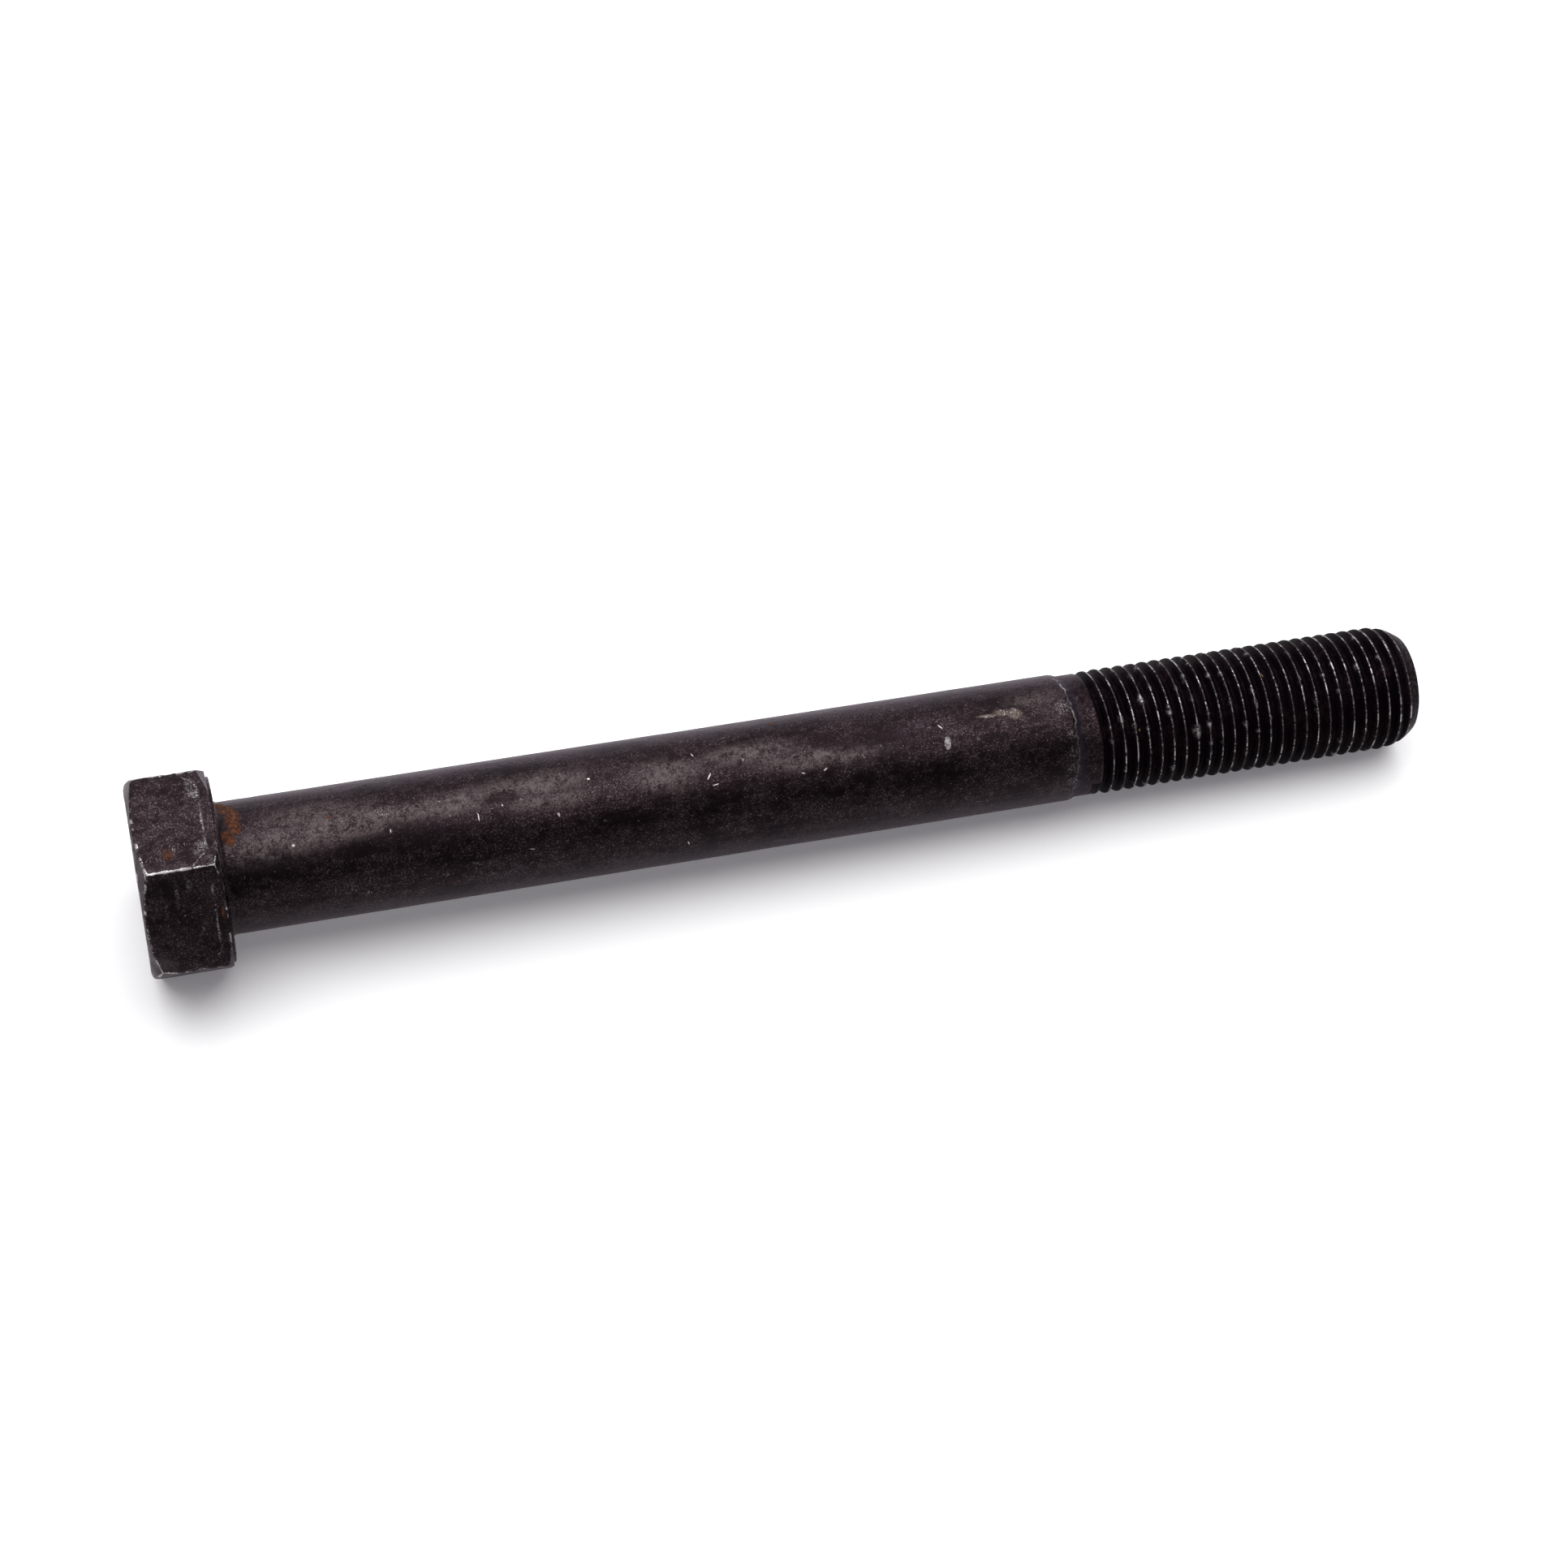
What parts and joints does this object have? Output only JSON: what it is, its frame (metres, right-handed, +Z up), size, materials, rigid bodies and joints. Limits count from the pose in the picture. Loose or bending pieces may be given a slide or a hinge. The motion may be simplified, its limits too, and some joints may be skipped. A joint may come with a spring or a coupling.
{
  "type": "hex bolt",
  "caption": "Long part-threaded hexagon head bolt with a plain shank and a fine right-hand thread, black oxide steel, worn and lightly rusted.",
  "frame": {"origin": "centre of the flat top face of the head, on the bolt's axis", "axes": "+X along the bolt's axis from the head to the threaded end; +Z up, with one flat of the head facing straight down and the head's corners at +Y and -Y"},
  "size_m": [0.2025, 0.0338, 0.0294],
  "materials": {
    "black_steel": "black oxide on steel, dull and worn, with bare metal on the edges and a little rust"
  },
  "bodies": {
    "root": {"hex_bolt": "black_steel"}
  },
  "joints": []
}
